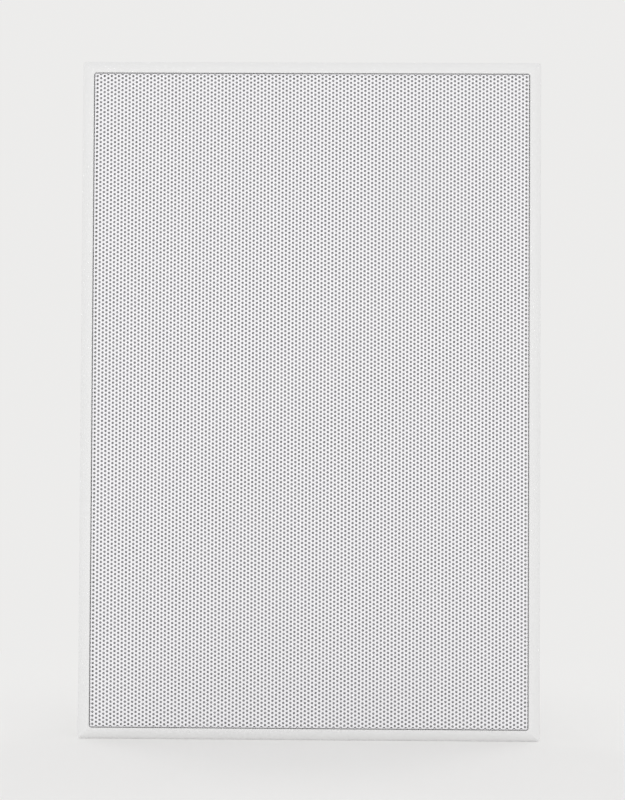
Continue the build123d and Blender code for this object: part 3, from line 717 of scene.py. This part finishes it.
def build_scrim():
    """Thin cloth stretched behind the grille."""
    low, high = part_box("grille_cloth")
    columns, rows = 24, 36
    x, z = np.meshgrid(np.linspace(low.x, high.x, columns + 1), np.linspace(low.z, high.z, rows + 1))
    front, back = (np.stack([x, 0.0 * x + y, z], axis=-1).reshape(-1, 3) for y in (low.y, high.y))
    first = (np.arange(columns) + np.arange(rows)[:, None] * (columns + 1)).reshape(-1, 1)
    above = columns + 1
    triangles = np.concatenate([first + (0, 1, above + 1), first + (0, above + 1, above)])
    scrim = new_piece("scrim_cloth", [closed_sheet(front, back, triangles)], "scrim", "grille_pan")
    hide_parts("grille_cloth")


# Woofer


def build_surround(sizes):
    """A half-roll surround, from its land on the basket's flange to its lip on the cone's rim."""
    low, high, centre = extent("woofer_surround")
    outer = (high.x - low.x) / 2
    half = sizes.rubber / 2
    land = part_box("woofer_basket")[0].y - half
    crest = low.y + half
    lip = high.y - half
    roll_out, roll_in, rim = outer - 4.0 * MM, outer - 15.2 * MM, outer - 18.5 * MM
    steps, inner_sink = 24, 0.62
    # From the roll to the cone: inwards from the roll, and forward of the lip, in mm
    lip_curve = ((0.5, 1.0), (1.1, 0.2), (2.0, 0.0))
    line = [(outer, land), (outer - 1.5 * MM, land), (roll_out + 0.4 * MM, land)]
    middle_radius, half_roll = (roll_out + roll_in) / 2, (roll_out - roll_in) / 2
    for step in range(steps + 1):
        turn = math.pi * step / steps
        sink = land if step <= steps / 2 else land + (lip - land) * inner_sink
        line.append((middle_radius + half_roll * math.cos(turn), sink - (sink - crest) * math.sin(turn)))
    line += [(roll_in - inwards * MM, lip - forward * MM) for inwards, forward in lip_curve]
    line.append((rim, lip))
    ring = turned(thickened(line, sizes.rubber), centre, segments=144)
    surround = new_piece("surround_roll", [ring], "surround_rubber")
    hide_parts("woofer_surround")
    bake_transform(surround)


def build_spider(sizes):
    """A corrugated disc of impregnated cloth between the basket's floor and the coil's former."""
    low, high, centre = extent("woofer_spider")
    outer = (high.x - low.x) / 2
    inner = 13.45 * MM
    half = sizes.spider_cloth / 2
    foot, neck = high.y - half, low.y + half
    first, last = outer - 3.0 * MM, inner + 2.0 * MM
    waves, steps = 6, 96
    line = [(outer, foot), (outer - 2.0 * MM, foot)]
    for step in range(steps + 1):
        share = step / steps
        radius = first - (first - last) * share
        fade = min(1.0, waves * share, waves * (1.0 - share))
        wave = sizes.spider_wave * fade * math.sin(2.0 * math.pi * waves * share)
        line.append((radius, foot + (neck - foot) * share - wave))
    line += [(inner + 1.0 * MM, neck), (inner, neck)]
    ring = turned(thickened(line, sizes.spider_cloth), centre, segments=120)
    spider = new_piece("spider_disc", [ring], "spider_cloth")
    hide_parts("woofer_spider")
    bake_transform(spider)


# Fasteners, magnets and tags


def threaded(centre, radius, front, back, pitch):
    """A screw thread along the depth about a centre (x, z), with its ends run out."""
    sides, crests = 16, (0.0, 1.0, 1.0, 0.0)
    samples = len(crests)
    root, run_out = 0.82 * radius, 1.2 * pitch
    last = math.ceil(samples * ((back - front) / pitch + 1.0))
    points, faces = [], [range(sides), range((last + 1) * sides - 1, last * sides - 1, -1)]
    for ring in range(last + 1):
        for side, (x, z) in enumerate(round_section(1.0, sides)):
            depth = front + (ring / samples + side / sides - 1.0) * pitch
            depth = back if ring == last else min(max(depth, front), back)
            fade = min((depth - front) / run_out, (back - depth) / run_out, 1.0)
            reach = root + (radius - root) * crests[ring % samples] * fade
            points.append((centre[0] + reach * x, depth, centre[1] + reach * z))
    for ring in range(last):
        for side in range(sides):
            here = ring * sides + side
            there = here + sides
            near, far = here + 1, there + 1
            if side == sides - 1:
                near, far = (min(ring + step, last) * sides for step in (samples, samples + 1))
            faces.append((here, near, far, there))
    return points, faces


def slotted_half(centre, front, floor, radius, slot, side):
    """One half of a slotted screw head, above the slot for a side of 1 and below it for -1."""
    start, steps = math.asin(slot / 2 / radius), 16
    edge, soft = 0.5 * MM, 0.15 * MM
    rings = []
    for inset, depth in ((edge, front), (soft, front + soft), (0.0, front + edge), (0.0, floor)):
        ring = []
        for step in range(steps + 1):
            angle = start + (math.pi - 2.0 * start) * step / steps
            x = (radius - inset) * math.cos(angle)
            z = max((radius - inset) * math.sin(angle), slot / 2)
            ring.append((centre[0] + x, depth, centre[1] + side * z))
        rings.append(ring)
    return lofted(rings)


def build_clamp_screws(sizes):
    """Four threaded screws with slotted heads, each on its own body."""
    head_radius, head_thick, slot, slot_depth = 4.0 * MM, 2.6 * MM, 1.2 * MM, 1.3 * MM
    shank = 2.0 * MM
    for site in SITES:
        node_name = f"clamp_screw_{site}"
        low, high, centre = extent(node_name)
        axis = (centre.x, centre.z)
        floor, seat = low.y + slot_depth, low.y + head_thick
        base = [(0.0, floor), (head_radius, floor), (head_radius, seat), (0.0, seat)]
        parts = [
            spun(base, (centre.x, 0.0, centre.z), "Y", segments=32),
            slotted_half(axis, low.y, floor, head_radius, slot, 1),
            slotted_half(axis, low.y, floor, head_radius, slot, -1),
            threaded(axis, shank, seat, high.y, sizes.thread_pitch),
        ]
        screw = new_piece(f"clamp_screw_thread_{site}", parts, "clamp_steel", node_name)
        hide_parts(node_name)


def cross_head(centre, base, radius, rise):
    """A domed screw head with a cross recess, as a net of rings about its middle."""
    sides, steps, fall, roundness = 48, 12, 0.9, 2.5
    arm, recess_radius, recess_depth = 0.4 * MM, 1.8 * MM, 1.2 * MM
    rings = [[(centre[0], base - rise + recess_depth, centre[1])]]
    for step in range(1, steps + 1):
        reach = radius * step / steps
        dome = base - rise * math.sqrt(1.0 - fall * (step / steps) ** roundness)
        sunk = recess_depth * (1.0 - reach / recess_radius)
        ring = []
        for x, z in round_section(reach, sides):
            recessed = min(abs(x), abs(z)) < arm and reach < recess_radius
            depth = dome + sunk if recessed else dome
            ring.append((centre[0] + x, min(depth, base), centre[1] + z))
        rings.append(ring)
    rings.append([(x, base, z) for x, _, z in rings[-1]])
    return lofted(rings)


def build_woofer_screws():
    """Four screws with cross recesses that hold the woofer's flange."""
    low, high, centre = extent("woofer_screws")
    head_radius, shank, head_rise, pitch = 3.0 * MM, 1.7 * MM, 2.0 * MM, 1.1 * MM
    seat = low.y + head_rise
    reach = (high.x - low.x) / 2 - head_radius
    parts = []
    for across in (-reach, reach):
        for up in (-reach, reach):
            axis = (centre.x + across, centre.z + up)
            parts.append(cross_head(axis, seat, head_radius, head_rise))
            parts.append(threaded(axis, shank, seat, high.y, pitch))
    screws = new_piece("woofer_screw_set", parts, "black_steel", "frame_body")
    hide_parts("woofer_screws")


def build_magnets():
    """Plated discs on the frame's posts, four along the ends and two on the sides."""
    low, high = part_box("grille_magnets")
    radius, edge, soft = 4.0 * MM, 0.3 * MM, 0.1 * MM
    end_spread, side_height = 70.0 * MM, 20.0 * MM
    side, end = high.x - radius, high.z - radius
    places = [(x, z) for x in (-end_spread, end_spread) for z in (-end, end)]
    places += [(-side, side_height), (side, side_height)]
    profile = [(0.0, low.y), (radius - edge, low.y), (radius - soft, low.y + soft)]
    profile += [(radius, low.y + edge), (radius, high.y - edge), (radius - edge, high.y), (0.0, high.y)]
    discs = [spun(profile, (x, 0.0, z), "Y", segments=40) for x, z in places]
    magnets = new_piece("magnet_discs", discs, "nickel", "frame_body")
    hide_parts("grille_magnets")


def eyelet_tag(base, tip, half_width, hole):
    """A flat tag's (along, across) points and triangles: a stem, and a round end with a hole in it."""
    spokes, first_corner, last_corner = 16, 6, 10
    eye = tip - half_width
    turns = 2.0 * math.pi * np.arange(spokes) / spokes
    ways = np.stack([np.cos(turns), np.sin(turns)], axis=1)
    squared = ways / np.abs(ways).max(axis=1)[:, None]
    outer = half_width * np.where(ways[:, :1] >= 0.0, ways, squared)
    stem = [(base, across) for _, across in outer[first_corner : last_corner + 1]]
    points = np.concatenate([outer + (eye, 0.0), hole * ways + (eye, 0.0), stem])
    triangles = []
    for spoke in range(spokes):
        after = (spoke + 1) % spokes
        triangles += [(spoke, after, spokes + after), (spoke, spokes + after, spokes + spoke)]
    for step in range(last_corner - first_corner):
        here, far = first_corner + step, 2 * spokes + step
        triangles += [(here, far, far + 1), (here, far + 1, here + 1)]
    return points, np.array(triangles)


def build_tags():
    """Tinned tags with soldering eyelets, riveted to the strips behind the two drivers."""
    half_width, hole, rivet, head = 1.5 * MM, 0.75 * MM, 1.15 * MM, 0.5 * MM
    rivet_inset = 3.2 * MM
    rivet_shape = ((0.0, 0.0), (1.0, 0.0), (1.0, 0.2), (0.7, 0.8), (0.3, 1.0), (0.0, 1.0))
    # The directions that a driver's tags run along and stand across
    directions = {"woofer": ((0, 0, 1), (1, 0, 0)), "tweeter": ((-1, 0, 0), (0, 0, 1))}
    for driver, pair in directions.items():
        ways = np.array(pair)
        low, high = (np.array(corner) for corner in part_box(f"{driver}_tags"))
        base, tip = sorted((low @ ways[0], high @ ways[0]))
        profile = [(rivet * radius, high[1] + head * rise) for radius, rise in rivet_shape]
        points, triangles = eyelet_tag(base, tip, half_width, hole)
        parts = []
        for across in (low @ ways[1] + half_width, high @ ways[1] - half_width):
            flat = (points + (0.0, across)) @ ways
            front, back = flat + (0.0, low[1], 0.0), flat + (0.0, high[1], 0.0)
            centre = (base + rivet_inset) * ways[0] + across * ways[1]
            parts.append(closed_sheet(front, back, triangles))
            parts.append(spun(profile, centre, "Y", segments=16))
        tags = new_piece(f"{driver}_eyelet_tags", parts, "tinned_brass", "frame_body")
        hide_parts(f"{driver}_tags")


# Crossover


def rounded_loop(half_width, half_depth, radius, steps):
    """Points round a rounded rectangle, anticlockwise from its right side."""
    loop = []
    for quarter, (x, y) in enumerate(((1, 1), (-1, 1), (-1, -1), (1, -1))):
        for step in range(steps + 1):
            angle = math.pi / 2 * (quarter + step / steps)
            across = x * (half_width - radius) + radius * math.cos(angle)
            loop.append((across, y * (half_depth - radius) + radius * math.sin(angle)))
    return loop


def build_inductor_coil(wire):
    """Layers of enamelled wire wound round the core's middle leg."""
    low, high, centre = extent("inductor_winding")
    half = (high - low) / 2
    corner, least_corner, layers = 4.2 * MM, 1.0 * MM, 4
    turns = int(2 * half.z / wire)
    wire_radius = 0.49 * wire
    section = round_section(wire_radius, sides=6)
    parts = []
    for layer in range(layers):
        inset = wire * (layer + 0.5)
        loop = rounded_loop(half.x - inset, half.y - inset, max(corner - inset, least_corner), steps=4)
        total = turns * len(loop)
        path = []
        for step in range(total):
            x, y = loop[step % len(loop)]
            rise = (2 * half.z - wire) * step / (total - 1) - half.z + wire / 2
            path.append(centre + Vector((x, y, rise if layer % 2 else -rise)))
        parts.append(swept(path, section))
    coil = new_piece("inductor_coil", parts, "copper_wire", "frame_body")
    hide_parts("inductor_winding")


def laminated(outline, first, last, sheets, nick):
    """Punched sheets with nicked edges, stacked along Y from an anticlockwise outline of (x, z) corners."""
    edges = [Vector(b) - Vector(a) for a, b in zip(outline, outline[1:] + outline[:1])]
    inward = [Vector((-edge.y, edge.x)).normalized() for edge in edges]
    corners = [(Vector(at), inward[turn - 1] + inward[turn]) for turn, at in enumerate(outline)]
    thick = (last - first) / sheets
    levels = [(first, nick)]
    for sheet in range(sheets):
        base = first + sheet * thick
        levels += [(base + nick, 0.0), (base + thick - nick, 0.0), (base + thick, nick)]
    rings = []
    for level, inset in levels:
        moved = [at + way * inset for at, way in corners]
        rings.append([(place.x, level, place.y) for place in moved])
    return lofted(rings)


def build_inductor_core():
    """A stack of punched sheets: a part with three legs, and a bar set on the legs over a paper gap."""
    low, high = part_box("inductor_core")
    leg, half_leg, gap, sheets, nick = 6.0 * MM, 5.0 * MM, 0.25 * MM, 20, 0.09 * MM
    centre = (low.x + high.x) / 2
    floor, top = low.z + leg, high.z - leg
    sides = [low.x, low.x + leg, centre - half_leg, centre + half_leg, high.x - leg, high.x]
    legs = [(sides[0], low.z), (sides[5], low.z), (sides[5], top), (sides[4], top), (sides[4], floor)]
    legs += [(sides[3], floor), (sides[3], top), (sides[2], top), (sides[2], floor), (sides[1], floor)]
    legs += [(sides[1], top), (sides[0], top)]
    bar = [(low.x, top + gap), (high.x, top + gap), (high.x, high.z), (low.x, high.z)]
    stacks = [laminated(outline, low.y, high.y, sheets, nick) for outline in (legs, bar)]
    core = new_piece("inductor_laminations", stacks, "core_iron", "frame_body")
    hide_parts("inductor_core")


def wire_legs(name, starts, reach, board):
    """Two wires of a component: out along X to either side, rounded over and down to the board."""
    radius, bend, steps = 0.4 * MM, 2.0 * MM, 5
    parts = []
    for (x, y, z), way in zip(starts, (-1, 1)):
        path = [(x, y, z)]
        for step in range(steps + 1):
            angle = math.pi / 2 * step / steps
            out = reach - bend + bend * math.sin(angle)
            path.append((x + way * out, y - bend * (1.0 - math.cos(angle)), z))
        path.append((x + way * reach, board, z))
        parts.append(swept(path, round_section(radius, sides=8)))
    new_piece(name, parts, "tinned_brass", "frame_body")


def build_capacitors():
    """A boxed film capacitor on four feet, and an axial one with wrapped ends and wire leads."""
    low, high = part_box("capacitors")
    film_width, film_depth, film_edge = 24.0 * MM, 13.0 * MM, 0.9 * MM
    foot, stand, foot_edge = 3.0 * MM, 0.7 * MM, 0.2 * MM
    far_corner = (low.x + film_width, low.y + film_depth, high.z)
    film = [rounded_box((low.x, low.y + stand, low.z), far_corner, film_edge, steps=3)]
    for x in (low.x + foot, low.x + film_width - 2 * foot):
        for z in (low.z + foot, high.z - 2 * foot):
            film.append(rounded_box((x, low.y, z), (x + foot, low.y + 2 * stand, z + foot), foot_edge))
    box = new_piece("film_capacitor", film, "capacitor_case", "frame_body")
    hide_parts("capacitors")
    can_length, can_radius, recess, wrap = 28.0 * MM, 7.0 * MM, 0.6 * MM, 0.35 * MM
    start, end = high.x - can_length, high.x
    axis_y, axis_z = high.y - can_radius, high.z - can_radius
    profile = [(0.0, start + recess), (can_radius - 2 * wrap, start + recess), (can_radius - wrap, start)]
    profile += [(can_radius, start + wrap), (can_radius, end - wrap), (can_radius - wrap, end)]
    profile += [(can_radius - 2 * wrap, end - recess), (0.0, end - recess)]
    roll = spun(profile, (0.0, axis_y, axis_z), "X", segments=48)
    axial = new_piece("axial_capacitor", [roll], "capacitor_case", "frame_body")
    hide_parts("capacitors")
    sunk, reach = 1.0 * MM, 2.6 * MM
    starts = ((start + sunk, axis_y, axis_z), (end - sunk, axis_y, axis_z))
    wire_legs("axial_capacitor_wires", starts, sunk + reach, low.y)


def build_resistor():
    """A cement-filled ceramic body with a fill that stands a little lower than its walls."""
    low, high, centre = extent("resistor")
    half = (high - low) / 2
    wall, edge, drop, corner, reach = 1.1 * MM, 0.4 * MM, 0.6 * MM, 0.6 * MM, 3.0 * MM
    levels = [(edge, low.y), (0.0, low.y + edge), (0.0, high.y - edge), (edge, high.y)]
    levels += [(wall, high.y), (wall + edge, high.y - drop), (2 * wall + edge, high.y - 0.7 * drop)]
    rings = []
    for inset, level in levels:
        loop = rounded_loop(half.x - inset, half.z - inset, corner, steps=3)
        rings.append([(centre.x + x, level, centre.z + z) for x, z in loop])
    block = new_piece("cement_resistor", [lofted(rings)], "resistor_cement", "frame_body")
    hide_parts("resistor")
    starts = ((low.x + wall, centre.y, centre.z), (high.x - wall, centre.y, centre.z))
    wire_legs("resistor_wires", starts, wall + reach, low.y)


# Places and corners on the board as (x, z) in mm
SOLDER_PLACES = (
    *((40.9, 117.0), (43.8, 117.0), (-70.4, 119.0)),
    *((-67.6, 119.0), (-66.2, 143.5), (-25.8, 120.5)),
)
LONG_TRACE = (
    *((-71.0, 115.2), (71.0, 115.2), (71.0, 117.4), (-20.6, 117.4), (-20.6, 126.0)),
    *((8.6, 126.0), (8.6, 142.4), (6.0, 142.4), (6.0, 128.6), (-24.0, 128.6)),
    *((-24.0, 117.4), (-68.2, 117.4), (-68.2, 121.0), (-71.0, 121.0)),
)
BOARD_TRACES = (
    LONG_TRACE,
    ((40.6, 128.8), (46.4, 128.8), (46.4, 131.4), (43.4, 131.4), (43.4, 143.0), (40.6, 143.0)),
    ((37.8, 119.4), (41.0, 119.4), (41.0, 122.0), (40.4, 122.0), (40.4, 128.8), (37.8, 128.8)),
    ((-26.0, 139.0), (-23.2, 139.0), (-23.2, 146.4), (44.0, 146.4), (44.0, 148.8), (-26.0, 148.8)),
)


def build_traces():
    """Broad copper traces that show through the board's lacquer."""
    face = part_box("crossover_board")[1].y
    raise_by, nick = 0.06 * MM, 0.05 * MM
    parts = []
    for corners in BOARD_TRACES:
        outline = [(x * MM, z * MM) for x, z in corners]
        parts.append(laminated(outline, face - raise_by, face + raise_by, sheets=1, nick=nick))
    new_piece("board_traces", parts, "board_laminate", "frame_body", "board_trace")


def build_solder():
    """Bright solder cones with the pin ends standing out of them."""
    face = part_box("crossover_board")[1].y
    pad, pin, foot, flank, stand = 1.5 * MM, 0.45 * MM, 0.2 * MM, 0.9 * MM, 1.6 * MM
    profile = [(0.0, face), (pad, face), (pad * 0.85, face + foot), (pin * 1.3, face + flank)]
    profile += [(pin, face + flank), (pin, face + stand), (0.0, face + stand)]
    joints = [spun(profile, (x * MM, 0.0, z * MM), "Y", segments=16) for x, z in SOLDER_PLACES]
    new_piece("solder_joints", joints, "tinned_brass", "frame_body")


# Operators


class SPEAKER_OT_finishes(bpy.types.Operator):
    """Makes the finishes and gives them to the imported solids"""

    bl_idname = "speaker.finishes"
    bl_label = "Finishes"

    def execute(self, context):
        make_finishes(context.scene.speaker_finishes)
        for part in frame["record"]["subparts"]:
            name = part["node"]
            dress(frame["nodes"][name], part["material_slot"], TWEETER_FINISHES.get(name))
        return {"FINISHED"}


class SPEAKER_OT_stage(bpy.types.Operator):
    """Lays the floor, sets the lights and places the camera"""

    bl_idname = "speaker.stage"
    bl_label = "Stage"

    def execute(self, context):
        build_stage(context.scene.speaker_stage)
        return {"FINISHED"}


class SPEAKER_OT_grille(bpy.types.Operator):
    """Builds the perforated sheet with its folded edges, and the scrim behind it"""

    bl_idname = "speaker.grille"
    bl_label = "Grille"

    def execute(self, context):
        build_grille(context.scene.speaker_sizes)
        build_scrim()
        return {"FINISHED"}


class SPEAKER_OT_suspension(bpy.types.Operator):
    """Builds the woofer's surround and spider at rest; they are not made to bend as the cone moves"""

    bl_idname = "speaker.suspension"
    bl_label = "Woofer suspension"

    def execute(self, context):
        sizes = context.scene.speaker_sizes
        build_surround(sizes)
        build_spider(sizes)
        return {"FINISHED"}


class SPEAKER_OT_fasteners(bpy.types.Operator):
    """Builds the threaded clamp screws and the woofer's screws"""

    bl_idname = "speaker.fasteners"
    bl_label = "Fasteners"

    def execute(self, context):
        build_clamp_screws(context.scene.speaker_sizes)
        build_woofer_screws()
        return {"FINISHED"}


class SPEAKER_OT_magnets(bpy.types.Operator):
    """Builds the plated discs that hold the grille"""

    bl_idname = "speaker.magnets"
    bl_label = "Grille magnets"

    def execute(self, context):
        build_magnets()
        return {"FINISHED"}


class SPEAKER_OT_tags(bpy.types.Operator):
    """Builds the soldering tags behind the drivers"""

    bl_idname = "speaker.tags"
    bl_label = "Soldering tags"

    def execute(self, context):
        build_tags()
        return {"FINISHED"}


class SPEAKER_OT_crossover(bpy.types.Operator):
    """Builds the inductor, the capacitors, the resistor and the board's traces and solder"""

    bl_idname = "speaker.crossover"
    bl_label = "Crossover"

    def execute(self, context):
        build_inductor_core()
        build_inductor_coil(context.scene.speaker_sizes.coil_wire)
        build_capacitors()
        build_resistor()
        build_traces()
        build_solder()
        return {"FINISHED"}


class SPEAKER_PT_panel(bpy.types.Panel):
    """Lists the operators in the order that builds the part"""

    bl_idname = "SPEAKER_PT_panel"
    bl_label = "Loudspeaker"
    bl_space_type = "VIEW_3D"
    bl_region_type = "UI"
    bl_category = "Loudspeaker"

    def draw(self, context):
        for operator in OPERATORS:
            self.layout.operator(operator.bl_idname)


GROUPS = {"speaker_sizes": SpeakerSizes, "speaker_finishes": SpeakerFinishes, "speaker_stage": SpeakerStage}
OPERATORS = (
    SPEAKER_OT_finishes,
    SPEAKER_OT_stage,
    SPEAKER_OT_grille,
    SPEAKER_OT_suspension,
    SPEAKER_OT_fasteners,
    SPEAKER_OT_magnets,
    SPEAKER_OT_tags,
    SPEAKER_OT_crossover,
)
CLASSES = (*GROUPS.values(), *OPERATORS, SPEAKER_PT_panel)


def register():
    for cls in CLASSES:
        bpy.utils.register_class(cls)
    for name, group in GROUPS.items():
        setattr(bpy.types.Scene, name, bpy.props.PointerProperty(type=group))


def unregister():
    for name in GROUPS:
        delattr(bpy.types.Scene, name)
    for cls in reversed(CLASSES):
        bpy.utils.unregister_class(cls)


def main():
    register()
    bpy.ops.speaker.finishes()
    bpy.ops.speaker.stage()
    bpy.ops.speaker.grille()
    bpy.ops.speaker.suspension()
    bpy.ops.speaker.fasteners()
    bpy.ops.speaker.magnets()
    bpy.ops.speaker.tags()
    bpy.ops.speaker.crossover()


if __name__ == "__main__":
    main()
